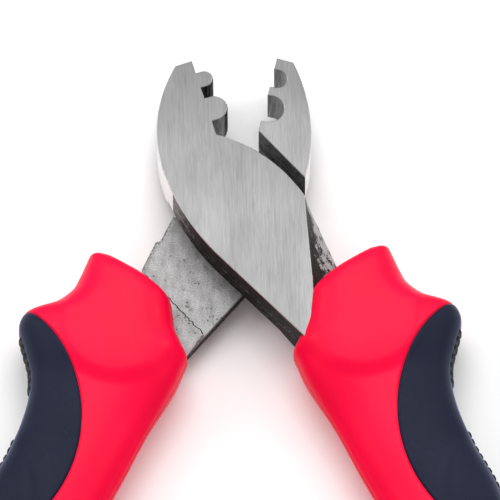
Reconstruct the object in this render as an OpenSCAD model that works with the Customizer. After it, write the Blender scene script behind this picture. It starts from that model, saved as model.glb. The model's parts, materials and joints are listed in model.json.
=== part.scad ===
// Lap-joint crimping pliers, 142 mm long, with two die and cup pairs and two-colour grips.
// Millimetres, +Z up. The origin is on the pivot axis, in the flat back face of the head.
// The pliers lie on their back: jaws towards +Y, handles towards -Y, front face up.
// Every outline is drawn with its lever closed, mating faces on the Y axis, and then turned open.

/* [Head] */
// Distance from the pivot to the jaw tips
jaw_len = 30; // [28:0.5:32]
// Thickness of the head, back face to front face
head_t = 9.8; // [9.2:0.1:10.6]
// Thickness of the back lever where the two levers lap
back_lap_t = 1.9; // [1.6:0.1:2.4]
// Gap between the lapping faces
lap_gap = 0.1; // [0.05:0.01:0.15]
// Half of the clear gap between the mating faces when closed
mate_gap = 0.05; // [0.03:0.01:0.1]

/* [Dies] */
// Radius of the small die
small_die_r = 1.55; // [1.4:0.05:1.6]
// Distance of the small die and cup from the pivot
small_die_y = 25.9; // [25.6:0.1:26.2]
// Radius of the large die
large_die_r = 2.4; // [2.2:0.05:2.5]
// Distance of the large die and cup from the pivot
large_die_y = 19.75; // [19.6:0.05:19.9]
// How far the centre of each round stands past the mating face
die_reach = 1.05; // [0.9:0.05:1.2]
// How much larger each cup's radius is than its die
cup_gap = 0.2; // [0.15:0.05:0.25]

/* [Pivot] */
// Radius of the rivet shank
rivet_r = 3; // [2.6:0.1:3.4]
// Running clearance on radius between the rivet and the back lever
rivet_gap = 0.04; // [0.01:0.01:0.08]
// Radius of the countersunk rivet head
rivet_head_r = 4.4; // [4:0.1:4.8]
// How far the dressed rivet end lies under the front face
rivet_dress = 0.03; // [0.01:0.01:0.05]

/* [Pose] */
// Angle of each lever from the closing line
open_half = 14.9; // [0:0.1:17]
// Extra turn of the front lever's handle, away from the closing line
front_splay = -2.2; // [-2.4:0.1:2.4]
// Extra turn of the back lever's handle, away from the closing line
back_splay = 1.2; // [-2.4:0.1:2.4]

/* [Grips] */
// How much further up its shank the right grip sits
right_seat = 1.1; // [0:0.1:1.2]
// Thickness of a grip at its guard
guard_t = 15.6; // [14.6:0.2:17]
// Squareness of a grip's section, where 2 is an ellipse
grip_power = 3; // [2.4:0.2:3.6]
// Radius of the finger pad's round edge, seen from the front
pad_r = 28.4; // [27.6:0.2:29]
// Wall of the finger pad
pad_wall = 2.2; // [1.8:0.1:2.6]
// Clear gap between moulded pieces
mould_gap = 0.05; // [0.02:0.01:0.08]
// Height of the tread strip above the finger pad
tread_h = 0.4; // [0.3:0.1:0.8]
// How deep the tread strip is let into the finger pad
tread_depth = 1; // [0.6:0.1:1.2]
// Width of the tread strip
tread_w = 4.4; // [3.6:0.2:5]

/* [Hidden] */
$fn = 64;
over = 1;                                  // how far a cutter runs past what it cuts
front_lap_z = back_lap_t + lap_gap;        // underside of the front lever in the lap
mid_z = head_t / 2;                        // parting plane of the forgings and the grips
steel = [0.72, 0.72, 0.72];
sleeve_red = [0.95, 0.06, 0.2];
pad_navy = [0.13, 0.14, 0.22];
tread_black = [0.05, 0.05, 0.06];

// Corners shared by the outlines, closed, on the front lever. The back lever mirrors them.
tip = [-mate_gap, jaw_len];
tip_out = [-3.2, jaw_len - 0.1];
front_cheek = [-11.4, 8];                  // widest point of the front lever's jaw
back_cheek = [10.4, 7.7];                  // outer end of the back lever's step
neck = [-7.1, -8];                         // where the jaw's round side meets the straight shank
heel = [3.4, -28.3];                       // where the shank's inner edge enters the grip
throat = [1.9, 13.2];                      // upper corner of the lap shoulder
corner = [11.7, -1.8];                     // lower corner of the lap shoulder
step_in = [mate_gap, 15];                  // inner end of the step over the lap
flank_top = [12.3, -1.4];
flank_low = [14.6, -22];
// Widening of the back lever's shank past the lap shoulder
back_shank = [[12.1, -1.7], [13.9, -7.1], [15.3, -13.1], [15.6, -22]];
tang_in = [[8.5, -45], [13, -70], [15, -96]];
tang_out = [[21, -96], [21, -70], [18.5, -45]];
tang_low_z = 2.1;
tang_t = 6;
// Where the front lever's shank ends inside its grip, and the same two corners on the back lever
root = [[6, -34], [14.8, -30]];
back_root = [[-6, -34], [-15.2, -30]];
coin_t = 0.5;                              // how far the coined end of the back shank stands up
skin = 0.01;                               // thickness of the outlines that a flank runs between

// Grip stations along the handle: [distance below the pivot, inner x, outer x, share of thickness]
stations = [
  [15.2, 19.9, 23.2, 0.44], [16.1, 18.4, 24.2, 0.76], [18.0, 12.4, 24.6, 0.90],
  [20.4, 8.2, 25.0, 0.96], [23.4, 6.7, 25.8, 0.99], [26.2, 5.5, 28.2, 1.00],
  [28.6, 3.6, 32.2, 1.00], [30.6, 2.2, 33.4, 1.00], [33.0, 2.4, 33.1, 1.00],
  [36.5, 2.9, 31.2, 0.97], [41.0, 4.1, 29.0, 0.90], [47.0, 5.8, 28.2, 0.87],
  [56.0, 7.7, 29.0, 0.86], [66.0, 9.9, 31.2, 0.87], [78.0, 11.4, 31.2, 0.88],
  [92.0, 12.2, 29.2, 0.84], [104.0, 12.8, 26.8, 0.74], [110.0, 14.2, 25.0, 0.54],
  [112.2, 16.8, 22.2, 0.26]
];
pad_centre = [45, -55];
pad_edge_n = 96;                           // corners of the pad's round edge
tread_margin = 0.6;                        // how far a tread stays inside the pad's round edge
steps = 2;                                 // slices between one station and the next
slice_t = 0.2;
ring_n = 24;                               // corners of a grip's section
tread_runs = [[-44, 10], [-69, 15.6]];     // lower end and length of each run of tread

// An arc through three points, as n + 1 points.
function circle_of(a, b, c) =
  let (d = 2 * (a.x * (b.y - c.y) + b.x * (c.y - a.y) + c.x * (a.y - b.y)),
       ux = ((a * a) * (b.y - c.y) + (b * b) * (c.y - a.y) + (c * c) * (a.y - b.y)) / d,
       uy = ((a * a) * (c.x - b.x) + (b * b) * (a.x - c.x) + (c * c) * (b.x - a.x)) / d)
  [ux, uy];
function heading(p, m) = atan2(p.y - m.y, p.x - m.x);
function nearest_turn(d) = d - 360 * round(d / 360);
function arc_through(a, b, c, n) =
  let (m = circle_of(a, b, c), r = norm(a - m), h = heading(a, m),
       turn = nearest_turn(heading(b, m) - h) + nearest_turn(heading(c, m) - heading(b, m)))
  [for (i = [0:n]) m + r * [cos(h + turn * i / n), sin(h + turn * i / n)]];
function turned(p, a) = [p.x * cos(a) - p.y * sin(a), p.x * sin(a) + p.y * cos(a)];
function mirrored(points) = [for (p = points) [-p.x, p.y]];
function reversed(list) = [for (i = [len(list) - 1:-1:0]) list[i]];

// A smooth curve through the stations, with the slope at each one from its neighbours.
function eased(p0, p1, p2, p3, t) =
  0.5 * (2 * p1 + (p2 - p0) * t + (2 * p0 - 5 * p1 + 4 * p2 - p3) * t * t
         + (3 * p1 - p0 - 3 * p2 + p3) * t * t * t);
function station(k) = stations[max(0, min(len(stations) - 1, k))];
last_slice = (len(stations) - 1) * steps;
function slice_at(i) =
  let (k = min(floor(i / steps), len(stations) - 2), t = i / steps - k)
  eased(station(k - 1), station(k), station(k + 1), station(k + 2), t);
function bent(v, power) = sign(v) * pow(abs(v), 2 / power);

// The front lever's outlines.
cheek_side = arc_through(tip_out, [-9.3, 21.1], front_cheek, 12);
neck_side = arc_through(front_cheek, [-10.5, 1.9], neck, 8);
shoulder = arc_through(corner, [7.9, 6.7], throat, 10);
mating_edge = [[-mate_gap, 14.6], tip];
face_edge = [[6.6, -26], [9.3, -13]];
front_face = concat([tip], cheek_side, neck_side, [heel], face_edge, shoulder, mating_edge);
front_jaw_back = concat([tip], cheek_side, [[-10.4, 7.5], [-step_in.x, step_in.y]]);
// Right of this line the front shank keeps its full thickness; left of it the back lever passes.
relief_top = [8.1, -6.5];
relief_share = 0.735;                      // where that line meets the straight side of the shank
flank = [flank_top, [13.3, -11], flank_low];
front_shank = concat([relief_top, neck + (heel - neck) * relief_share, heel], root, reversed(flank),
                     [[12, -2]]);
front_mid = concat([neck, heel], root, reversed(flank), [corner]);
flank_face = concat([corner], reversed(face_edge), [[6.6, -34], heel, neck, [0, -2]]);

// The back lever's outlines.
back_side = arc_through([3.2, jaw_len - 0.2], [8.2, 20.9], back_cheek, 12);
back_neck = arc_through(back_cheek, [10, 1.6], [-neck.x, neck.y], 8);
back_jaw = concat([[mate_gap, jaw_len]], back_side, [step_in]);
back_heel = [-heel.x, heel.y];
back_lap = concat([step_in], back_neck, [back_heel], back_root, mirrored(reversed(back_shank)),
                  mirrored(shoulder), [[0.2, 14.3]]);
back_step = concat([[-14.9, -13.9], [-8, -18.7], [-1.4, -23.4], back_heel], back_root);

module plate(points, low, high) {
  translate([0, 0, low]) linear_extrude(high - low) polygon(points);
}

module die(radius, y) {
  translate([die_reach, y, 0]) cylinder(r = radius, h = head_t);
  translate([-over, y - radius, 0]) cube([die_reach + over, 2 * radius, head_t]);
}

module cup(radius, y) {
  translate([die_reach, y, -over]) cylinder(r = radius, h = head_t + 2 * over);
  translate([-over, y - radius, -over]) cube([die_reach + over, 2 * radius, head_t + 2 * over]);
}

// The tang runs on inside the grip. Its splay is that of the handle.
module tang(splay, grow) {
  points = concat([heel + [0.6, -1.5]], tang_in, tang_out, [flank_low + [-0.9, -3]]);
  rotate(splay)
    translate([0, 0, tang_low_z - grow])
      linear_extrude(tang_t + 2 * grow)
        offset(delta = grow) polygon(points);
}

// The shank as the grip's mouth has to fit round it.
module front_mouth(grow) {
  translate([0, 0, -grow]) linear_extrude(mid_z + 2 * grow) offset(delta = grow) polygon(front_mid);
  front_flank(grow);
}

module front_flank(grow) {
  hull() {
    translate([0, 0, mid_z - skin]) linear_extrude(skin) offset(delta = grow) polygon(front_mid);
    translate([0, 0, head_t - skin + grow]) linear_extrude(skin) offset(delta = grow) polygon(flank_face);
  }
}

module front_lever_forging() {
  color(steel) rotate(open_half) difference() {
    union() {
      plate(front_face, front_lap_z, head_t);
      plate(front_jaw_back, 0, front_lap_z);
      plate(front_shank, 0, front_lap_z);
      plate(front_mid, front_lap_z, mid_z);
      front_flank(0);
      die(small_die_r, small_die_y);
      die(large_die_r, large_die_y);
      tang(front_splay, 0);
    }
    translate([0, 0, -over]) cylinder(r = rivet_r, h = head_t + 2 * over);
  }
}

module back_lever_forging() {
  color(steel) rotate(-open_half) difference() {
    union() {
      plate(back_jaw, 0, head_t);
      plate(back_lap, 0, back_lap_t);
      plate(back_step, 0, back_lap_t + coin_t);
      mirror([1, 0, 0]) tang(back_splay, 0);
    }
    cup(small_die_r + cup_gap, small_die_y);
    cup(large_die_r + cup_gap, large_die_y);
    translate([0, 0, -over]) cylinder(r = rivet_r + rivet_gap, h = head_t + 2 * over);
    countersink(rivet_gap);
  }
}

// The rivet head's cone, which the back lever turns on.
module countersink(grow) {
  depth = rivet_head_r - rivet_r;
  translate([0, 0, -grow]) cylinder(r1 = rivet_head_r + 2 * grow, r2 = rivet_r + grow, h = depth);
}

module pivot_rivet() {
  color(steel) union() {
    cylinder(r = rivet_r, h = head_t - rivet_dress);
    cylinder(r1 = rivet_head_r, r2 = rivet_r, h = rivet_head_r - rivet_r);
  }
}

// A grip's section across the handle, grown all round by grow.
module grip_slice(i, grow) {
  s = slice_at(i);
  half_w = (s[2] - s[1]) / 2 + grow;
  half_t = s[3] * guard_t / 2 + grow;
  translate([(s[1] + s[2]) / 2, -s[0], mid_z]) rotate([90, 0, 0]) linear_extrude(slice_t)
    polygon([for (k = [0:ring_n - 1]) let (a = 360 * k / ring_n)
      [half_w * bent(cos(a), grip_power), half_t * bent(sin(a), grip_power)]]);
}

module grip_body(grow) {
  for (i = [0:last_slice - 1])
    hull() {
      grip_slice(i, grow);
      grip_slice(i + 1, grow);
    }
}

module pad_zone(grow) {
  translate([pad_centre.x, pad_centre.y, mid_z])
    cylinder(r = pad_r + grow, h = 2 * guard_t, center = true, $fn = pad_edge_n);
}

// The tread lies in two runs, one in each finger hollow.
module tread_zone(grow) {
  for (run = tread_runs)
    translate([15, run[0] - grow, mid_z - tread_w / 2 - grow])
      cube([30, run[1] + 2 * grow, tread_w + 2 * grow]);
}

module grip_sleeve() {
  difference() {
    grip_body(0);
    difference() {
      pad_zone(mould_gap);
      grip_body(-pad_wall);
    }
  }
}

module finger_pad() {
  difference() {
    intersection() {
      grip_body(0);
      pad_zone(0);
    }
    grip_body(mould_gap - pad_wall);
    difference() {
      tread_zone(mould_gap);
      grip_body(-tread_depth);
    }
  }
}

module tread_strip() {
  intersection() {
    difference() {
      grip_body(tread_h);
      grip_body(mould_gap - tread_depth);
    }
    tread_zone(0);
    pad_zone(-tread_margin);
  }
}

module right_side() {
  rotate(open_half + front_splay) translate([0, right_seat, 0]) children();
}

module left_side() {
  rotate(-open_half - back_splay) mirror([1, 0, 0]) children();
}

module right_grip_sleeve() {
  color(sleeve_red) difference() {
    right_side() grip_sleeve();
    rotate(open_half) {
      front_mouth(mould_gap);
      tang(front_splay, mould_gap);
    }
  }
}

module right_finger_pad() {
  color(pad_navy) right_side() finger_pad();
}

module right_tread_strip() {
  color(tread_black) right_side() tread_strip();
}

module left_grip_sleeve() {
  color(sleeve_red) difference() {
    left_side() grip_sleeve();
    rotate(-open_half) {
      translate([0, 0, -mould_gap]) linear_extrude(back_lap_t + coin_t + 2 * mould_gap)
        offset(delta = mould_gap) polygon(back_lap);
      mirror([1, 0, 0]) tang(back_splay, mould_gap);
    }
  }
}

module left_finger_pad() {
  color(pad_navy) left_side() finger_pad();
}

module left_tread_strip() {
  color(tread_black) left_side() tread_strip();
}

front_lever_forging();
back_lever_forging();
pivot_rivet();
right_grip_sleeve();
right_finger_pad();
right_tread_strip();
left_grip_sleeve();
left_finger_pad();
left_tread_strip();
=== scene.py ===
import json
import math
import bpy
import numpy as np
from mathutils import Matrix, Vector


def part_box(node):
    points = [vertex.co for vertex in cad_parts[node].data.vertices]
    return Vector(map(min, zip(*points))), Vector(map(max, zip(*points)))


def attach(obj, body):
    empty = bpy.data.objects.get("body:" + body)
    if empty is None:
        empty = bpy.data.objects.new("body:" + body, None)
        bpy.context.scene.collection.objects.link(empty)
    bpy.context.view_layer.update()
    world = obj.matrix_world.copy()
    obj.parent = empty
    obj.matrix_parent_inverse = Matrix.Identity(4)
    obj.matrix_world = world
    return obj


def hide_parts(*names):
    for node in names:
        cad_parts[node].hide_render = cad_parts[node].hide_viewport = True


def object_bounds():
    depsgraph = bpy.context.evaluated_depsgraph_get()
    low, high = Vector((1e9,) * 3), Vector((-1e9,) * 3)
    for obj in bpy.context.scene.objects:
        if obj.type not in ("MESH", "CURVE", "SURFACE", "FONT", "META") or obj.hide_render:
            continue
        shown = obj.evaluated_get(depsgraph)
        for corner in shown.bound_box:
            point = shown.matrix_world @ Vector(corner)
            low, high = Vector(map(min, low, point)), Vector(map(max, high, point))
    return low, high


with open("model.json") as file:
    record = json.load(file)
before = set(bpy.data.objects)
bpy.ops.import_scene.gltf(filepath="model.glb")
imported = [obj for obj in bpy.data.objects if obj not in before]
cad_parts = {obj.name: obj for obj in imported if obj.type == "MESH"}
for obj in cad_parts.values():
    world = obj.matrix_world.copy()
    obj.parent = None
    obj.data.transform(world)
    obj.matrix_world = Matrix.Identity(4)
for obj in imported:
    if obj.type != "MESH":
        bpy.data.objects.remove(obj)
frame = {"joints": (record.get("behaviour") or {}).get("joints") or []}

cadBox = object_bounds()
mm = 0.001                                   # shapes are worked out in millimetres, and meshes are in metres
hinge = frame["joints"][0]
openHalf = -hinge["range_deg"][0] / 2        # the closing stop is at rest minus the whole opening
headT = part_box("front_lever_forging")[1].z / mm
lowest = min(cadBox[0].z, 0) / mm
midZ = headT / 2
knurlPitch = 1.25                            # millimetres from one ridge of the knurl to the next
flatArea = 3.0                               # square millimetres from which a face counts as flat
sharpSteel = 35                              # degrees between faces from which a steel edge stays sharp
facing = 0.97                                # Z share of the normal from which a face counts as level
upright = 0.7                                # and the share under which it counts as a side
rimDepth = 0.3                               # how far under the front face its bevelled rim reaches
bevelRise = np.array([1.0, 0.62, 0.3, 0.1, 0.0])      # a rounded bevel: share of its height still to go
bevelInset = np.array([1.0, 0.38, 0.11, 0.02, 0.0])   # and share of its inset at each of those heights

# what both levers share, drawn closed with the mating line on the Y axis
head = {"reach": 1.05, "mateGap": 0.05, "lapZ": 2.0, "lapPlateT": 1.9, "bevel": 0.14,
        "tip": (-0.05, 30.0), "tipOut": (-3.2, 29.9), "cheek": (-11.4, 8.0), "neck": (-7.1, -8.0),
        "heel": (3.4, -28.3), "throat": (1.9, 13.2), "corner": (11.7, -1.8), "stepIn": (0.05, 15.0),
        "backCheek": (10.4, 7.7), "levelStep": 0.16, "pointStep": 0.5, "dieFoot": 14.6, "arcPoints": 40}
grip = {"thick": 15.6, "power": 3.0, "rightSeat": 1.1, "frontSplay": -2.2, "backSplay": 1.2,
        "padCentre": {"left": (45.0, -55.0), "right": (44.5, -55.0)}, "padR": 28.4, "padWall": 2.2,
        "gap": 0.04, "groove": 0.28, "grooveW": 0.24, "seam": 0.13, "seamW": 0.16, "seamZ": midZ + 0.8,
        "ringStep": 0.36, "sharpAngle": 50, "thinnest": 0.02}
# each die's knurl begins past a plain share of its arc
dies = [{"y": 19.75, "r": 2.4, "plain": 0.22}, {"y": 25.9, "r": 1.55, "plain": 0.0}]


# the circle through a, b and c, whose centre is as far from all three; equal turns from a to c past b
def arcThrough(a, b, c, count=24):
    a, b, c = (np.array(p, float) for p in (a, b, c))
    centre = np.linalg.solve(2 * np.array([b - a, c - a]), np.array([b @ b - a @ a, c @ c - a @ a]))
    headings = [math.atan2(p[1] - centre[1], p[0] - centre[0]) for p in (a, b, c)]
    turns = [(headings[i + 1] - headings[i] + math.pi) % (2 * math.pi) - math.pi for i in (0, 1)]
    t = headings[0] + sum(turns) * np.linspace(0, 1, count)
    return centre + np.linalg.norm(a - centre) * np.stack([np.cos(t), np.sin(t)], 1)


# straight stretches are cut into equal parts no longer than step, and every corner stays
def spaced(points, step):
    p = np.asarray(points, float)
    q = np.roll(p, -1, 0)
    parts = np.maximum(1, np.ceil(np.linalg.norm((q - p)[:, :2], axis=1) / step)).astype(int)
    start = np.repeat(np.arange(len(p)), parts)
    share = (np.arange(parts.sum()) - np.repeat(np.cumsum(parts) - parts, parts)) / np.repeat(parts, parts)
    return p[start] + (q - p)[start] * share[:, None]


# columns of an outline: x and y on the front face, x and y low on the flank, knurl share, forged share
def row(points, low=None, knurl=0.0, forged=0.0):
    p = np.atleast_2d(np.asarray(points, float))
    q = p if low is None else np.atleast_2d(np.asarray(low, float))
    extra = np.tile([knurl, forged], (len(p), 1))
    return np.hstack([p, q, extra])


# at each corner the two edge normals are summed and made long enough to keep the edges parallel
def outwards(ring):
    edge = np.roll(ring, -1, 0) - ring
    normal = np.stack([edge[:, 1], -edge[:, 0]], 1)
    normal /= np.linalg.norm(normal, axis=1, keepdims=True) + 1e-12
    both = normal + np.roll(normal, 1, 0)
    both /= np.linalg.norm(both, axis=1, keepdims=True) + 1e-12
    return both / np.clip((both * normal).sum(1, keepdims=True), 0.6, 1)


# 0 before low and 1 after high, with an S-curve between
def eased(value, low, high):
    t = np.clip((value - low) / (high - low), 0, 1)
    return t * t * (3 - 2 * t)


# random heights, softened along both directions so that near points rise together
def roughness(shape, seed, soft, size):
    heights = np.random.default_rng(seed).normal(size=shape)
    kernel = np.hanning(2 * soft + 3)[1:-1]
    kernel /= kernel.sum()
    for axis in (0, 1):
        heights = np.apply_along_axis(
            lambda v: np.convolve(np.r_[v[-soft:], v, v[:soft]], kernel, "valid"), axis, heights)
    return size * heights / heights.std()


# a closed grid: rings one above the other, each point joined to the next and to the ring above, ends capped
def closedGrid(rings):
    count, around = rings.shape[:2]
    i = np.arange(count - 1)[:, None] * around
    j = np.arange(around)[None, :]
    k = (j + 1) % around
    quads = np.stack([i + j, i + k, i + around + k, i + around + j], -1).reshape(-1, 4).tolist()
    first = list(range(around - 1, -1, -1))
    last = list(range((count - 1) * around, count * around))
    return rings.reshape(-1, 3), quads + [first, last]


# curved skins are shaded smooth, with their corners kept sharp and the large flat faces kept flat
def shade(mesh, sharpAngle):
    mesh.shade_smooth()
    mesh.set_sharp_from_angle(angle=math.radians(sharpAngle))
    area = np.empty(len(mesh.polygons))
    mesh.polygons.foreach_get("area", area)
    mesh.polygons.foreach_set("use_smooth", area < flatArea * mm ** 2)


# points in millimetres become a mesh in metres, linked into the scene
def makePiece(name, points, faces, sharpAngle=sharpSteel):
    mesh = bpy.data.meshes.new(name)
    mesh.from_pydata((np.asarray(points) * mm).tolist(), [], faces)
    mesh.validate()
    shade(mesh, sharpAngle)
    piece = bpy.data.objects.new(name, mesh)
    bpy.context.scene.collection.objects.link(piece)
    return piece


# the others are joined to the base, or cut from it, and the result becomes the base's own mesh
def combined(base, others, operation):
    for other in others:
        change = base.modifiers.new(other.name, "BOOLEAN")
        change.object = other
        change.operation = operation
        change.solver = "EXACT"
    seen = base.evaluated_get(bpy.context.evaluated_depsgraph_get())
    mesh = bpy.data.meshes.new_from_object(seen)
    base.modifiers.clear()
    base.data = mesh
    shade(mesh, sharpSteel)
    for other in others:
        bpy.data.objects.remove(other)


# points turned about the Z axis: x cos - y sin, x sin + y cos
def splayed(points, degrees):
    c, s = math.cos(math.radians(degrees)), math.sin(math.radians(degrees))
    return points @ np.array([[c, s], [-s, c]])


# a piece's own points are turned, so the piece itself stays unturned at the origin
def turned(piece, degrees):
    co = np.empty(len(piece.data.vertices) * 3)
    piece.data.vertices.foreach_get("co", co)
    co = co.reshape(-1, 3)
    co[:, :2] = splayed(co[:, :2], degrees)
    piece.data.vertices.foreach_set("co", co.ravel())
    piece.data.update()
    return piece


# each face takes the first finish whose test holds for its centre and normal, both in the closed pose
def paintFaces(piece, finishes):
    mesh = piece.data
    mesh.materials.clear()
    count = len(mesh.polygons)
    centre, normal = np.empty(count * 3), np.empty(count * 3)
    mesh.polygons.foreach_get("center", centre)
    mesh.polygons.foreach_get("normal", normal)
    centre, normal = centre.reshape(-1, 3) / mm, normal.reshape(-1, 3)
    choice = np.full(count, len(finishes) - 1)
    for index in range(len(finishes) - 1, -1, -1):
        test, material = finishes[index]
        choice = np.where(test(centre, normal), index, choice)
    for test, material in finishes:
        mesh.materials.append(material)
    mesh.polygons.foreach_set("material_index", choice.astype(np.int32))
    mesh.update()


# an outline carried from low to high: insets round the edges, and the flank runs out as it goes down
# the knurl is the product of two slanting cosines, the flash a bell curve round the parting height
def plate(name, outline, low, high, step, bevelLow=0.0, bevelHigh=0.0, knurlSize=0.0, forgedSize=0.0, seed=1,
          ramp=None, chamfer=0.0):
    ring = spaced(outline, step)
    area = np.sum(ring[:, 0] * np.roll(ring[:, 1], -1) - np.roll(ring[:, 0], -1) * ring[:, 1])
    if area < 0:
        ring = ring[::-1]
    body = np.linspace(low + bevelLow, high - bevelHigh, max(2, round((high - low) / head["levelStep"])))
    z = np.concatenate([low + bevelLow * (1 - bevelRise[:-1]), body,
                        high - bevelHigh * (1 - bevelRise[-2::-1])])
    d = np.concatenate([bevelLow * bevelInset[:-1], np.zeros(len(body)), bevelHigh * bevelInset[-2::-1]])
    down = np.clip((high - rimDepth - z) / (high - rimDepth - midZ), 0, 1)[:, None, None]
    flat = ring[None, :, :2] * (1 - down) + ring[None, :, 2:4] * down
    along = np.cumsum(np.linalg.norm(np.diff(ring[:, :2], axis=0, append=ring[:1, :2]), axis=1))
    inner = ((z > low + bevelLow) & (z < high - bevelHigh))[:, None]
    swell = -d[:, None] * (1 + chamfer * ring[None, :, 4] * (z > body[0])[:, None])
    if knurlSize:
        cross = np.cos((along[None] + z[:, None]) * 2 * math.pi / knurlPitch)
        cross = cross * np.cos((along[None] - z[:, None]) * 2 * math.pi / knurlPitch)
        swell = swell + inner * ring[None, :, 4] * knurlSize * cross
    if forgedSize:
        lump = roughness((len(z), len(ring)), seed, 3, forgedSize)
        flash = 2.2 * forgedSize * np.exp(-((z - midZ - 0.6) / 0.3) ** 2)[:, None]
        swell = swell + inner * ring[None, :, 5] * (lump + flash)
    normal = outwards(ring[:, :2])
    xy = flat + normal[None] * swell[..., None]
    zz = np.broadcast_to(z[:, None], xy.shape[:2])
    if ramp:
        past = (xy - np.array(ramp["start"])) @ np.array(ramp["to"])
        floorZ = (high - ramp["keep"]) * (1 - np.clip(past / ramp["long"], 0, 1))
        zz = np.maximum(zz, floorZ + (zz - low) * (1 - floorZ / high))
    return makePiece(name, *closedGrid(np.concatenate([xy, zz[..., None]], -1)))


# a half-profile turned about the Z axis
def lathe(name, profile, count=96):
    r, z = np.asarray(profile, float).T
    t = np.linspace(0, 2 * math.pi, count, endpoint=False)
    rings = np.stack([r[:, None] * np.cos(t), r[:, None] * np.sin(t), z[:, None] + 0 * t], -1)
    return makePiece(name, *closedGrid(rings))


# a plain shader, with further sockets given by name
def newMaterial(name, colour, metallic, rough, **more):
    material = bpy.data.materials.new(name)
    material.use_nodes = True
    shader = material.node_tree.nodes["Principled BSDF"]
    shader.inputs["Base Color"].default_value = colour
    shader.inputs["Metallic"].default_value = metallic
    shader.inputs["Roughness"].default_value = rough
    for socket, value in more.items():
        shader.inputs[socket.replace("_", " ")].default_value = value
    return material


# one shader node, with sockets linked or set
def add(material, kind, inputs=None, **settings):
    made = material.node_tree.nodes.new("ShaderNode" + kind)
    for key, value in settings.items():
        setattr(made, key, value)
    for key, value in (inputs or {}).items():
        if isinstance(value, bpy.types.NodeSocket):
            material.node_tree.links.new(value, made.inputs[key])
        else:
            made.inputs[key].default_value = value
    return made


# noise on the piece's own coordinates; stretch gives the cells per metre along X, Y and Z
def grain(material, stretch, detail=3.0, turn=0.0, rough=0.55):
    place = add(material, "TexCoord").outputs["Object"]
    moved = add(material, "Mapping", {"Vector": place, "Rotation": (0, 0, math.radians(turn)),
                                      "Scale": stretch})
    made = add(material, "TexNoise", {"Vector": moved.outputs[0], "Scale": 1.0, "Detail": detail,
                                      "Roughness": rough})
    return made.outputs[0]


# low to high becomes outLow to outHigh, in a straight line and held at both ends
def spread(material, value, low, high, outLow=0.0, outHigh=1.0):
    made = add(material, "MapRange", {"Value": value, "From Min": low, "From Max": high, "To Min": outLow,
                                      "To Max": outHigh})
    return made.outputs[0]


# one sum, difference or product
def calc(material, operation, a, b=0.0):
    return add(material, "Math", {0: a, 1: b}, operation=operation).outputs[0]


# a times its share plus b times its share
def weighed(material, a, shareA, b, shareB):
    return calc(material, "ADD", calc(material, "MULTIPLY", a, shareA), calc(material, "MULTIPLY", b, shareB))


# a where the factor is 0, b where it is 1
def tint(material, factor, a, b):
    return add(material, "Mix", {0: factor, 6: a, 7: b}, data_type="RGBA").outputs[2]


# a node feeds one socket of the shader
def use(material, socket, value):
    shader = material.node_tree.nodes["Principled BSDF"]
    material.node_tree.links.new(value, shader.inputs[socket])


# fine height that only tilts the light, depth in metres
def relief(material, height, depth, strength=1.0):
    made = add(material, "Bump", {"Height": height, "Strength": strength, "Distance": depth})
    use(material, "Normal", made.outputs[0])


# equal red, green and blue
def grey(value):
    return (value, value, value, 1)


# one coordinate of the piece itself, in metres
def objectAxis(material, axis):
    place = add(material, "TexCoord").outputs["Object"]
    return add(material, "SeparateXYZ", {0: place}).outputs[axis]


# the distance up or down from a height given in millimetres
def awayFrom(material, height):
    return calc(material, "ABSOLUTE", calc(material, "SUBTRACT", objectAxis(material, "Z"), height * mm))


# straight-ground steel: fine lines along the lever over slow clouds, with painted shade that darkens it
# towards the tips
def groundSteel(name, turn, dark, light, metallic=1.0):
    material = newMaterial(name, grey(light), metallic, 0.34)
    fine = grain(material, (8500, 380, 380), 4.0, turn)
    wide = grain(material, (2300, 110, 110), 3.0, turn)
    cloud = grain(material, (150, 60, 150), 3.0, turn)
    lines = weighed(material, fine, 0.55, wide, 0.45)
    both = weighed(material, lines, 0.7, cloud, 0.3)
    # painted shade: the colour dims towards the tips, standing in for the overhead light's reflection fading
    # there
    paintedTipShade = spread(material, objectAxis(material, "Y"), 0.0, 0.028, 1.0, 0.66)
    shine = spread(material, both, 0.34, 0.66, dark, light)
    use(material, "Base Color", calc(material, "MULTIPLY", shine, paintedTipShade))
    use(material, "Roughness", spread(material, lines, 0.3, 0.7, 0.30, 0.42))
    relief(material, lines, 0.00004, 0.35)
    return material


# black forging scale, rubbed grey on its high spots and along its parting line, and cleaner near the jaws
def forgedScale():
    material = newMaterial("forgedScale", grey(0.03), 0.5, 0.6, Specular_IOR_Level=0.3)
    lump = grain(material, (1100, 1100, 1100), 4.0)
    spot = grain(material, (3200, 3200, 3200), 3.0)
    ridge = spread(material, awayFrom(material, midZ + 0.6), 0.0001, 0.0007, 0.07, 0.0)
    clean = spread(material, objectAxis(material, "Y"), -0.006, 0.001, 0.0, 0.17)
    raised = calc(material, "ADD", calc(material, "MULTIPLY", lump, spot),
                  calc(material, "ADD", ridge, clean))
    worn = spread(material, raised, 0.33, 0.44)
    use(material, "Base Color", tint(material, worn, grey(0.012), grey(0.22)))
    use(material, "Roughness", spread(material, spot, 0.3, 0.7, 0.42, 0.75))
    relief(material, calc(material, "ADD", lump, spot), 0.00025, 0.8)
    return material


# the shank's slanting flank: black under its top edge, and below that scuffed to a broken light grey
def scuffedFlank():
    material = newMaterial("scuffedFlank", grey(0.3), 0.7, 0.5)
    patch = grain(material, (750, 520, 750), 4.0)
    spot = grain(material, (2800, 2800, 2800), 3.0)
    under = spread(material, objectAxis(material, "Z"), 0.0068, 0.0088, 0.06, -0.16)
    level = calc(material, "ADD", calc(material, "ADD", calc(material, "MULTIPLY", patch, 0.6), under),
                 calc(material, "MULTIPLY", spot, 0.4))
    use(material, "Base Color", tint(material, spread(material, level, 0.47, 0.56), grey(0.012), grey(0.42)))
    use(material, "Roughness", spread(material, spot, 0.3, 0.7, 0.4, 0.66))
    relief(material, calc(material, "ADD", patch, spot), 0.00025, 0.8)
    return material


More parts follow.
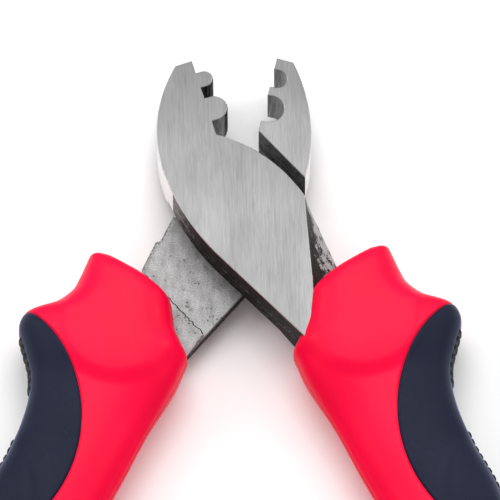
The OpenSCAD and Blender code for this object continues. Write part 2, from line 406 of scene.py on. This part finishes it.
# grit-blasted steel: pale, with clustered dark pits and stains that follow the same clouds
def blastedSteel():
    material = newMaterial("blastedSteel", grey(0.3), 0.85, 0.5)
    grit = grain(material, (4200, 4200, 4200), 4.0)
    cloud = grain(material, (380, 380, 380), 5.0, 35)
    streak = grain(material, (900, 220, 500), 4.0, -38)
    pit = grain(material, (2400, 2400, 2400), 2.0)
    deep = calc(material, "ADD", pit, calc(material, "MULTIPLY", cloud, 0.55))
    pitted = spread(material, deep, 0.53, 0.60, 1.0, 0.0)
    even = spread(material, weighed(material, cloud, 0.5, streak, 0.5), 0.36, 0.64, 0.20, 0.34)
    speckled = calc(material, "MULTIPLY", even, spread(material, grit, 0.3, 0.7, 0.58, 1.42))
    use(material, "Base Color", tint(material, pitted, speckled, grey(0.07)))
    use(material, "Roughness", spread(material, grit, 0.3, 0.7, 0.40, 0.62))
    relief(material, calc(material, "SUBTRACT", grit, pitted), 0.00012, 0.5)
    return material


# milled or knurled steel, left dark
def darkSteel(name, dark, light, rough):
    material = newMaterial(name, grey(dark), 0.9, rough)
    lines = grain(material, (3600, 3600, 260), 3.0)
    use(material, "Base Color", tint(material, spread(material, lines, 0.35, 0.65), grey(dark), grey(light)))
    use(material, "Roughness", spread(material, lines, 0.3, 0.7, rough - 0.1, rough + 0.12))
    relief(material, lines, 0.00006, 0.6)
    return material


# moulded plastic: one colour with a slow drift, a fine spark-eroded grain and a darker parting line
def mouldedPlastic(name, colour, deep, rough, cell, depth, line=0.0, **more):
    material = newMaterial(name, colour, 0.0, rough, **more)
    drift = grain(material, (70, 70, 70), 3.0)
    skin = grain(material, (cell, cell, cell), 3.0)
    base = tint(material, spread(material, drift, 0.35, 0.65), colour, deep)
    if line:
        seam = spread(material, awayFrom(material, grip["seamZ"]), 0.00008, 0.00026, line, 0.0)
        base = tint(material, seam, base, tuple(0.45 * c for c in deep[:3]) + (1,))
    use(material, "Base Color", base)
    use(material, "Roughness", spread(material, skin, 0.3, 0.7, rough - 0.06, rough + 0.08))
    relief(material, skin, depth, 0.5)
    return material


faceFront = groundSteel("groundFaceFront", -4, 0.11, 0.225)
faceBack = groundSteel("groundFaceBack", 12, 0.125, 0.24)
# painted highlight: a much lighter copy of the ground steel, for the bevels that catch the light
paintedHighlightEdge = groundSteel("groundEdgePaintedHighlight", 0, 0.5, 0.75)
# painted light: a near-white copy of the ground steel for the jaw walls that are lit bright
paintedLightSteel = groundSteel("groundSidePaintedLight", 0, 0.9, 1.0, 0.45)
scale = forgedScale()
flankSkin = scuffedFlank()
blasted = blastedSteel()
knurled = darkSteel("knurledSteel", 0.02, 0.16, 0.42)
milled = darkSteel("milledSteel", 0.10, 0.34, 0.40)
sleeveRed = mouldedPlastic("sleeveRed", (0.97, 0.0, 0.05, 1), (0.90, 0.0, 0.04, 1), 0.38, 2600, 0.00003, 0.8,
                           Specular_IOR_Level=0.13)
padNavy = mouldedPlastic("padNavy", (0.010, 0.014, 0.034, 1), (0.007, 0.010, 0.026, 1), 0.5, 3400, 0.00006,
                         Specular_IOR_Level=0.12, Sheen_Weight=0.6, Sheen_Roughness=0.3,
                         Sheen_Tint=(0.5, 0.55, 1.0, 1))
treadBlack = mouldedPlastic("treadBlack", (0.008, 0.008, 0.01, 1), (0.005, 0.005, 0.006, 1), 0.6, 3000,
                            0.00005, Specular_IOR_Level=0.25)
print("materials made")

front = {"jawMid": (-9.3, 21.1), "neckMid": (-10.5, 1.9), "shoulderMid": (7.9, 6.7), "forgedBelow": 3.0,
         "reliefTop": (8.1, -6.5), "reliefShare": 0.735, "knurl": 0.17, "lump": 0.035,
         "lowCheek": (-10.4, 7.5), "footEnd": (12.0, -2.0), "tangTop": (4.0, -29.8), "tangFoot": (13.7, -25),
         "sunk": 0.4, "dieFrom": 17.2, "sideFrom": 5.5, "innerFrom": 13.0,
         "heelEnd": (6, -34), "flankFace": [(6.6, -34), (6.6, -26), (9.3, -13)],
         "flankFoot": [(14.8, -30), (14.6, -22), (13.3, -11), (12.3, -1.4)],
         "tangIn": [(8.5, -45), (13, -70), (15, -96)], "tangOut": [(21, -96), (21, -70), (18.5, -45)],
         "tangZ": (2.6, 7.2), "tangEdge": (3.0, 0.4, 0.4), "boreR": 3.0, "boreTop": 9.3,
         "ramp": {"start": (0.6, -22.9), "to": (0.46, -0.89), "long": 5.0, "keep": 0.45}}


# up the mating line, round each die and on to the tip
def dieEdge(points=44):
    edges = [row([(-head["mateGap"], head["dieFoot"])])]
    for die in dies:
        y, r, reach = die["y"], die["r"], head["reach"]
        arc = arcThrough((reach, y - r), (reach + r, y), (reach, y + r), points)
        arcRows = row(arc)
        arcRows[:, 4] = np.linspace(0, 1, points) >= die["plain"]
        edges += [row([(-head["mateGap"], y - r)]), arcRows, row([(-head["mateGap"], y + r)])]
    return edges


cheekSide = arcThrough(head["tipOut"], front["jawMid"], head["cheek"], head["arcPoints"])
neckSide = arcThrough(head["cheek"], front["neckMid"], head["neck"], head["arcPoints"])
shoulder = arcThrough(head["corner"], front["shoulderMid"], head["throat"], head["arcPoints"])
forgedShare = np.clip((front["forgedBelow"] - neckSide[:, 1]) / 2, 0, 1)
neckRows = row(neckSide)
neckRows[:, 5] = forgedShare
topOutline = np.vstack([row([head["tip"]]), row(cheekSide), neckRows,
                        row([head["heel"], front["heelEnd"]], forged=1.0),
                        row(front["flankFace"] + [head["corner"]], front["flankFoot"], forged=1.0),
                        row(shoulder[1:]), *dieEdge()])
lowStep = [front["lowCheek"], (-head["stepIn"][0], head["stepIn"][1])]
lowJaw = np.vstack([row([head["tip"]]), row(cheekSide), row(lowStep), *dieEdge()[1:]])
heelShare = np.array(head["neck"]) + (np.array(head["heel"]) - head["neck"]) * front["reliefShare"]
lowShank = row([front["reliefTop"], heelShare, head["heel"], front["heelEnd"], *front["flankFoot"],
                front["footEnd"]], forged=1.0)
tang = np.array([front["tangTop"]] + front["tangIn"] + front["tangOut"] + [front["tangFoot"]], float)


fine = head["pointStep"]
frontLever = plate("front_lever", topOutline, head["lapZ"], headT, fine, 0.0, head["bevel"], front["knurl"],
                   front["lump"], 3)
jawLow = plate("jawLow", lowJaw, 0.0, head["lapZ"] + front["sunk"], fine, head["bevel"], 0.0,
               front["knurl"], 0.0, 4)
shankLow = plate("shankLow", lowShank, 0.0, head["lapZ"] + front["sunk"], fine, head["bevel"], 0.0, 0.0,
                 front["lump"], 5, front["ramp"])
tangPlate = plate("tangPlate", row(splayed(tang, grip["frontSplay"])), *front["tangZ"], *front["tangEdge"])
combined(frontLever, [jawLow, shankLow, tangPlate], "UNION")
bore = lathe("bore", [(front["boreR"], -1.0), (front["boreR"], front["boreTop"])])
combined(frontLever, [bore], "DIFFERENCE")


# faces that stand more upright than level
def sides(n):
    return np.abs(n[:, 2]) < upright


# every face that no earlier test has taken
def anywhere(c, n):
    return np.ones(len(c), bool)


# the upright walls of the two dies
def inDies(c, n):
    return (c[:, 0] > 0.0) & (c[:, 1] > front["dieFrom"]) & sides(n)


# the share of the large die that has no knurl
def plainBand(c, n):
    return inDies(c, n) & (c[:, 1] < dies[0]["y"] - 1.2) & (c[:, 0] < head["reach"] + 1.1)


# the bevel round the front face, which takes the painted highlight
def topEdge(c, n):
    return (n[:, 2] > 0.35) & (c[:, 2] > headT - rimDepth)


paintFaces(frontLever, [
    (lambda c, n: n[:, 2] > facing, faceFront),
    (topEdge, paintedHighlightEdge),
    (plainBand, milled),
    (inDies, knurled),
    # painted light: the outer walls of the jaw take the near-white lit steel
    (lambda c, n: sides(n) & (c[:, 1] > front["sideFrom"]) & (c[:, 0] < -2.5), paintedLightSteel),
    (lambda c, n: (n[:, 0] > 0.5) & (c[:, 1] < 0) & (c[:, 2] > midZ), flankSkin),
    (lambda c, n: sides(n) & (c[:, 1] > front["innerFrom"]), milled),
    (lambda c, n: n[:, 2] < -upright, faceBack),
    (anywhere, scale)])
turned(frontLever, openHalf)
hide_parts("front_lever_forging")
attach(frontLever, "front_lever")
print("front lever made")

back = {"jawMid": (8.2, 20.9), "tipOut": (3.2, 29.8), "neckMid": (10.0, 1.6), "cupGap": 0.2, "lump": 0.03,
        "shank": [(12.1, -1.7), (13.3, -6.9), (14.1, -7.4), (15.3, -13.1), (15.6, -22)],
        "boreR": 3.04, "coneR": 4.4,
        "step": [(-14.9, -13.9), (-8, -18.7), (-1.4, -23.4), (-3.4, -28.3), (-6, -34), (-15.2, -30)],
        "stepT": 0.5, "stepLow": 0.2, "lapStart": (0.2, 14.3), "bevel": 0.24, "chamfer": 1.9, "tear": 0.06}
flipped = np.array([-1.0, 1.0])


# down the mating line and round each cup
def cupEdge(points=44):
    edges = []
    for die in dies[::-1]:
        y, r, reach = die["y"], die["r"] + back["cupGap"], head["reach"]
        arc = arcThrough((reach, y + r), (reach + r, y), (reach, y - r), points)
        edges += [row([(head["mateGap"], y + r)]), row(arc), row([(head["mateGap"], y - r)])]
    return edges


jawSide = arcThrough(head["backCheek"], back["jawMid"], back["tipOut"], head["arcPoints"])
jawOutline = np.vstack([row([(head["mateGap"], head["tip"][1])]), *cupEdge(), row([head["stepIn"]]),
                        row(jawSide)])
neckBack = arcThrough((-head["neck"][0], head["neck"][1]), back["neckMid"], head["backCheek"], 40)
shoulderBack = (shoulder * flipped)[::-1]
lapOutline = np.vstack([row([head["stepIn"], back["lapStart"]]), row(shoulderBack),
                        row(np.array(back["shank"]) * flipped, knurl=1.0, forged=1.0),
                        row([(-15.2, -30), (-6, -34), (-head["heel"][0], head["heel"][1])], forged=1.0),
                        row(neckBack)])
backLever = plate("back_lever", jawOutline, 0.0, headT, fine, head["bevel"], head["bevel"])
lap = plate("lap", lapOutline, 0.0, head["lapPlateT"], fine, head["bevel"], back["bevel"], 0.0,
            back["lump"], 6, chamfer=back["chamfer"])
coinRing = spaced(np.array(back["step"], float), 0.2)
coinRing += roughness((len(coinRing), 2), 11, 1, back["tear"]) * eased(coinRing[:, 1:], -27.5, -25.0)
coined = plate("coined", row(coinRing), back["stepLow"], head["lapPlateT"] + back["stepT"], fine, 0.0,
               back["bevel"])
backTang = plate("backTang", row(splayed(tang, grip["backSplay"]) * flipped), *front["tangZ"],
                 *front["tangEdge"])
combined(backLever, [lap, coined, backTang], "UNION")
sink = back["coneR"] - back["boreR"]
bore = lathe("bore", [(back["coneR"] + 0.5, -0.5), (back["boreR"], sink), (back["boreR"], 12.0)])
combined(backLever, [bore], "DIFFERENCE")
paintFaces(backLever, [
    (lambda c, n: (n[:, 2] > facing) & (c[:, 2] > headT - rimDepth), faceBack),
    (topEdge, paintedHighlightEdge),
    (lambda c, n: sides(n) & (c[:, 1] > 16.0) & (c[:, 0] < 5.0) & (c[:, 0] > 0.0) & (c[:, 1] < 29.5),
     milled),
    # the jaw's step wall that faces -Y is black: its real scale together with painted shade for the shade
    # held in the step
    (lambda c, n: sides(n) & (c[:, 2] > 2.0) & (c[:, 1] > 7.0) & (n[:, 1] < -0.4), scale),
    # painted light: the back jaw's walls take the near-white lit steel
    (lambda c, n: sides(n) & (c[:, 1] > 4.0), paintedLightSteel),
    (lambda c, n: n[:, 2] < -upright, faceBack),
    # painted shade: the bevels above the lap plate that face +Y, the coined step's rim among them, take the
    # black scale so the step's edge reads as a dark line
    (lambda c, n: (n[:, 2] < 0.93) & (c[:, 2] > head["lapPlateT"] + 0.05) & (n[:, 1] > 0.2), scale),
    # painted highlight: the other sloping bevels above the lap plate, the coined step's rim among them, take
    # the light edge steel
    (lambda c, n: (n[:, 2] < 0.93) & (c[:, 2] > head["lapPlateT"] + 0.05) & (n[:, 2] > 0.2), paintedHighlightEdge),
    (lambda c, n: (n[:, 2] > 0.2) & (n[:, 2] < 0.99) & (c[:, 2] < head["lapPlateT"]) & (c[:, 0] < -11),
     milled),
    (lambda c, n: np.abs(n[:, 2]) < 0.5, scale),
    (anywhere, blasted)])
turned(backLever, -openHalf)
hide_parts("back_lever_forging")
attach(backLever, "back_lever")
print("back lever made")

rivet = {"r": 3.0, "headR": 4.4, "top": 9.2, "dome": 0.12}
headDome = np.linspace(0.02, 1, 12)
profile = [(rivet["headR"] * t, -rivet["dome"] * (1 - t ** 2)) for t in headDome]
profile += [(rivet["r"], rivet["headR"] - rivet["r"]), (rivet["r"], rivet["top"])]
pivotRivet = lathe("rivet", profile)
# the rivet takes the same near-white painted-light steel
paintFaces(pivotRivet, [(anywhere, paintedLightSteel)])
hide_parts("pivot_rivet")
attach(pivotRivet, "front_lever")
print("rivet made")

form = {"plateau": (15.6, -28.5), "plateauR": 9.6, "blend": 3.0, "step": 0.55, "lean": 1.3,
        "crease": (28.2, -55.4), "creaseTo": (-0.5, -0.87), "creaseW": (1.5, 5.0), "rise": 0.7}
# distance below the pivot, inner x, outer x, share of thickness
stations = np.array([
    [15.05, 20.6, 22.0, 0.14], [15.2, 19.9, 23.2, 0.44], [16.1, 18.4, 24.2, 0.76], [18.0, 12.4, 24.6, 0.90],
    [20.4, 8.2, 25.0, 0.96], [23.4, 6.7, 25.8, 0.99], [26.2, 5.5, 28.2, 1.00], [28.6, 3.6, 32.2, 1.00],
    [30.6, 2.2, 33.4, 1.00], [33.0, 2.4, 33.1, 1.00], [36.5, 2.9, 31.2, 0.97], [41.0, 4.1, 29.0, 0.90],
    [47.0, 5.8, 28.2, 0.87], [56.0, 7.7, 29.0, 0.86], [66.0, 9.9, 31.2, 0.87], [78.0, 11.4, 31.2, 0.88],
    [92.0, 12.2, 29.2, 0.84], [104.0, 12.8, 26.8, 0.74], [110.0, 14.2, 25.0, 0.54], [112.2, 16.8, 22.2, 0.26],
    [112.5, 18.6, 20.6, 0.10]])
treads = [{"low": -44.0, "long": 10.0}, {"low": -69.0, "long": 15.6}]
tread = {"width": 4.4, "sink": 0.9, "base": 0.1, "rib": 0.34, "pitch": 1.55, "ringStep": 0.08}


# a cubic through each pair of stations whose end slopes are half the step between their neighbours,
# sampled at nearly even depths that close up a little at both ends
def gripSlices(step, low=stations[0, 0], high=stations[-1, 0]):
    k = np.arange(len(stations) - 1)
    t = np.linspace(0, 1, 24, endpoint=False)
    p = [stations[np.clip(k + i, 0, len(stations) - 1)][:, None, :] for i in (-1, 0, 1, 2)]
    u = t[None, :, None]
    dense = 0.5 * (2 * p[1] + (p[2] - p[0]) * u + (2 * p[0] - 5 * p[1] + 4 * p[2] - p[3]) * u ** 2
                   + (3 * p[1] - p[0] - 3 * p[2] + p[3]) * u ** 3)
    dense = np.vstack([dense.reshape(-1, 4), stations[-1:]])
    ends = 0.5 - 0.5 * np.cos(np.linspace(0, math.pi, int((high - low) / step * 1.2)))
    even = np.linspace(0, 1, len(ends))
    depth = low + (high - low) * (0.35 * ends + 0.65 * even)
    return np.stack([depth] + [np.interp(depth, dense[:, 0], dense[:, c]) for c in (1, 2, 3)], 1)


# the sign of v times its size to the power two over the section's power
def bent(v):
    return np.sign(v) * np.abs(v) ** (2 / grip["power"])


# a round plateau over the guard, a lean down to the handle's inner edge below it, and a crease in the pad:
# an S-curve of the distance from the plateau's centre, a power of the share inwards, and a bell curve
def formDrop(x, y, inward):
    away = np.hypot(x - form["plateau"][0], y - form["plateau"][1])
    step = form["step"] * eased(away, form["plateauR"], form["plateauR"] + form["blend"]) * eased(-y, 22, 27)
    lean = form["lean"] * eased(-y, 35, 48) * np.clip(inward, 0, 1) ** 1.3
    cx, cy = form["crease"]
    across = (y - cy) * form["creaseTo"][0] - (x - cx) * form["creaseTo"][1]
    width = np.where(across < 0, *form["creaseW"])
    crease = form["rise"] * np.exp(-(across / width) ** 2) * eased(x, 19, 24) * (1 - eased(-y, 66, 76))
    return (step + lean) * eased(-y, 15, 18) * (1 - eased(-y, 100, 110)) - crease


# the section is a superellipse, half its width times bent cosine by half its thickness times bent sine;
# drop sinks it towards its middle
def onGrip(slices, angle, drop):
    centre = ((slices[:, 1] + slices[:, 2]) / 2)[:, None]
    halfW = np.maximum(((slices[:, 2] - slices[:, 1]) / 2)[:, None] - drop, grip["thinnest"])
    halfT = np.maximum((slices[:, 3] * grip["thick"] / 2)[:, None] - drop, grip["thinnest"])
    x = centre + halfW * bent(np.cos(angle))
    y = np.broadcast_to(-slices[:, :1], x.shape)
    height = halfT * bent(np.sin(angle))
    sunk = formDrop(x, y, (centre - x) / halfW) * np.minimum(np.abs(height) / 4, 1)
    return np.stack([x, y, midZ + height - np.sign(height) * sunk], -1)


# the angle at which a section sunk by drop meets the pad's round edge
def edgeAngle(slices, boundary, drop):
    centre = (slices[:, 1] + slices[:, 2]) / 2
    halfW = (slices[:, 2] - slices[:, 1]) / 2 - drop
    share = np.clip((boundary - centre) / np.maximum(halfW, grip["thinnest"]), -0.999, 1.0)
    return np.arccos(np.sign(share) * np.abs(share) ** (grip["power"] / 2))


# where the round edge crosses each slice, and how deep the bed lies, tapering to nothing at both ends
def padLines(slices, side):
    cx, cy = grip["padCentre"][side]
    reach = np.sqrt(np.maximum(grip["padR"] ** 2 - (-slices[:, 0] - cy) ** 2, 0))
    inside = np.where(reach > 0, cx - reach, 1e3)
    boundary = np.minimum(inside, slices[:, 2] - 0.35)
    depth = np.clip(0.8 * (slices[:, 2] - boundary - 0.35), 0, grip["padWall"])
    return boundary, depth


# the groove between sleeve and pad sinks both by a bell curve of the distance from the round edge
def grooveDrop(points, live, side):
    cx, cy = grip["padCentre"][side]
    away = np.abs(np.hypot(points[..., 0] - cx, points[..., 1] - cy) - grip["padR"])
    return grip["groove"] * np.exp(-(away / grip["grooveW"]) ** 2) * live[:, None]


# the sleeve's ring runs over its own skin from one side of the pad to the other, and back along the pad's bed
def sleeveMesh(side):
    slices = gripSlices(grip["ringStep"])
    boundary, depth = padLines(slices, side)
    live = np.clip(depth / 0.4, 0, 1)
    start = edgeAngle(slices, boundary, 0)[:, None]
    t = np.linspace(0, 1, 120)[None]
    t = t - 0.85 * np.sin(4 * math.pi * t) / (4 * math.pi)
    angle = start + (2 * math.pi - 2 * start) * t
    skin = onGrip(slices, angle, 0)
    seam = grip["seam"] * np.exp(-((skin[..., 2] - grip["seamZ"]) / grip["seamW"]) ** 2) * (np.cos(angle) < 0)
    skin = onGrip(slices, angle, grooveDrop(skin, live, side) + seam)
    bedEdge = edgeAngle(slices, boundary, depth)[:, None]
    bed = onGrip(slices, -bedEdge + 2 * bedEdge * np.linspace(0, 1, 30)[None], depth[:, None])
    return np.concatenate([skin, bed], 1)


# the pad's ring runs over the finger side and back along the bed, a little clear of the sleeve
def padMesh(side):
    slices = gripSlices(grip["ringStep"])
    boundary, depth = padLines(slices, side)
    keep = depth > 0.12
    slices, boundary, depth = slices[keep], boundary[keep] + grip["gap"], depth[keep]
    live = np.clip(depth / 0.4, 0, 1)
    edge = edgeAngle(slices, boundary, 0)[:, None]
    t = np.linspace(0, 1, 84)[None]
    t = t - 0.8 * np.sin(2 * math.pi * t) / (2 * math.pi)
    angle = -edge + 2 * edge * t
    skin = onGrip(slices, angle, 0)
    skin = onGrip(slices, angle, grooveDrop(skin, live, side))
    bedEdge = edgeAngle(slices, boundary, depth - grip["gap"])[:, None]
    bed = onGrip(slices, bedEdge - 2 * bedEdge * np.linspace(0, 1, 30)[None], (depth - grip["gap"])[:, None])
    return np.concatenate([skin, bed], 1)


# ribs stand as rounded waves along the strip, and its edges are rounded across it
def treadMesh(run):
    slices = gripSlices(tread["ringStep"], -run["low"] - run["long"], -run["low"])
    along = (slices[:, 0] + run["low"] + run["long"]) / run["long"]
    across = np.linspace(-1, 1, 21)
    z = across * tread["width"] / 2
    wave = np.clip(0.5 + 1.4 * np.cos(2 * math.pi * slices[:, 0] / tread["pitch"]), 0, 1)[:, None]
    fade = (1 - across[None] ** 6) * np.clip(np.minimum(along, 1 - along) * 22, 0, 1)[:, None] ** 0.5
    centre, halfW = ((slices[:, 1] + slices[:, 2]) / 2)[:, None], ((slices[:, 2] - slices[:, 1]) / 2)[:, None]
    halfT = (slices[:, 3] * grip["thick"] / 2)[:, None]
    x = centre + halfW * (1 - np.abs(z[None] / halfT) ** grip["power"]) ** (1 / grip["power"])
    top = x + (tread["base"] + tread["rib"] * wave) * fade - 0.15 * (1 - fade)
    y = np.broadcast_to(-slices[:, :1], x.shape)
    zz = np.broadcast_to(midZ + z[None], x.shape)
    upper = np.stack([top, y, zz], -1)
    under = np.stack([x - tread["sink"], y, zz], -1)[:, ::-1]
    return np.concatenate([upper, under], 1)


# right-hand shapes are slid up their shank and turned; left-hand ones are mirrored, with rings run backwards
def gripPiece(name, rings, side, material, node):
    rings = rings.copy()
    if side == "right":
        rings[..., 1] += grip["rightSeat"]
        turn, body = openHalf + grip["frontSplay"], "front_lever"
    else:
        rings[..., 0] *= -1
        rings = rings[:, ::-1]
        turn, body = -openHalf - grip["backSplay"], "back_lever"
    piece = turned(makePiece(name, *closedGrid(rings), grip["sharpAngle"]), turn)
    piece.data.materials.append(material)
    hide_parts(node)
    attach(piece, body)


for side in ("right", "left"):
    gripPiece(side + "_sleeve", sleeveMesh(side), side, sleeveRed, side + "_grip_sleeve")
    gripPiece(side + "_pad", padMesh(side), side, padNavy, side + "_finger_pad")
    for count, run in enumerate(treads):
        gripPiece(f"{side}_tread_{count + 1}", treadMesh(run), side, treadBlack, side + "_tread_strip")
print("grips made")

floorLook = {"size": 3.0, "colour": (0.98, 0.98, 0.98, 1)}
span = floorLook["size"]
floorMesh = bpy.data.meshes.new("floor")
floorMesh.from_pydata([(-span, -span, lowest * mm), (span, -span, lowest * mm), (span, span, lowest * mm),
                       (-span, span, lowest * mm)], [], [(0, 1, 2, 3)])
floor = bpy.data.objects.new("floor", floorMesh)
bpy.context.scene.collection.objects.link(floor)
floor.data.materials.append(newMaterial("paper", floorLook["colour"], 0.0, 0.9))

studio = {"strength": 0.48, "aim": (0, -0.03, 0)}
world = bpy.data.worlds.new("studio")
bpy.context.scene.world = world
world.use_nodes = True
world.node_tree.nodes["Background"].inputs["Color"].default_value = (1, 1, 1, 1)
world.node_tree.nodes["Background"].inputs["Strength"].default_value = studio["strength"]
lamps = [{"name": "overheadSoft", "place": (0.0, 0.46, 0.95), "size": 0.8, "power": 7.2},
         {"name": "leftSoft", "place": (-0.8, 0.35, 0.7), "size": 0.5, "power": 3.2},
         {"name": "rightSoft", "place": (0.8, 0.3, 0.75), "size": 0.5, "power": 2.9}]
for lamp in lamps:
    light = bpy.data.lights.new(lamp["name"], "AREA")
    light.energy, light.size = lamp["power"], lamp["size"]
    holder = bpy.data.objects.new(lamp["name"], light)
    holder.location = lamp["place"]
    toMiddle = np.array(studio["aim"]) - np.array(lamp["place"])
    flatReach = math.hypot(toMiddle[0], toMiddle[1])
    holder.rotation_euler = (math.atan2(flatReach, -toMiddle[2]), 0, math.atan2(-toMiddle[0], toMiddle[1]))
    bpy.context.scene.collection.objects.link(holder)

# the camera looks at a point a little right of and below the pivot, from as far off as its long lens asks for
camera = {"azimuth": -2.1, "elevation": 66.0, "lens": 1000.0, "sensor": 36.0, "seenWidth": 1 / 11,
          "right": 0.0018, "down": 0.0084, "clipEnd": 50.0}
azimuth, elevation = math.radians(camera["azimuth"]), math.radians(camera["elevation"])
towards = np.array([math.sin(azimuth) * math.cos(elevation), -math.cos(azimuth) * math.cos(elevation),
                    math.sin(elevation)])
rightway = np.array([math.cos(azimuth), math.sin(azimuth), 0.0])
upway = np.cross(towards, rightway)
target = np.array([0, 0, headT * mm]) + rightway * camera["right"] - upway * camera["down"]
distance = camera["seenWidth"] * camera["lens"] / camera["sensor"]
lens = bpy.data.cameras.new("camera")
lens.lens, lens.sensor_width = camera["lens"], camera["sensor"]
lens.clip_end = camera["clipEnd"]
viewer = bpy.data.objects.new("camera", lens)
viewer.location = target + towards * distance
viewer.rotation_euler = (math.pi / 2 - elevation, 0, azimuth)
bpy.context.scene.collection.objects.link(viewer)
bpy.context.scene.camera = viewer
bpy.context.scene.view_settings.view_transform = "Standard"
print("stage made")
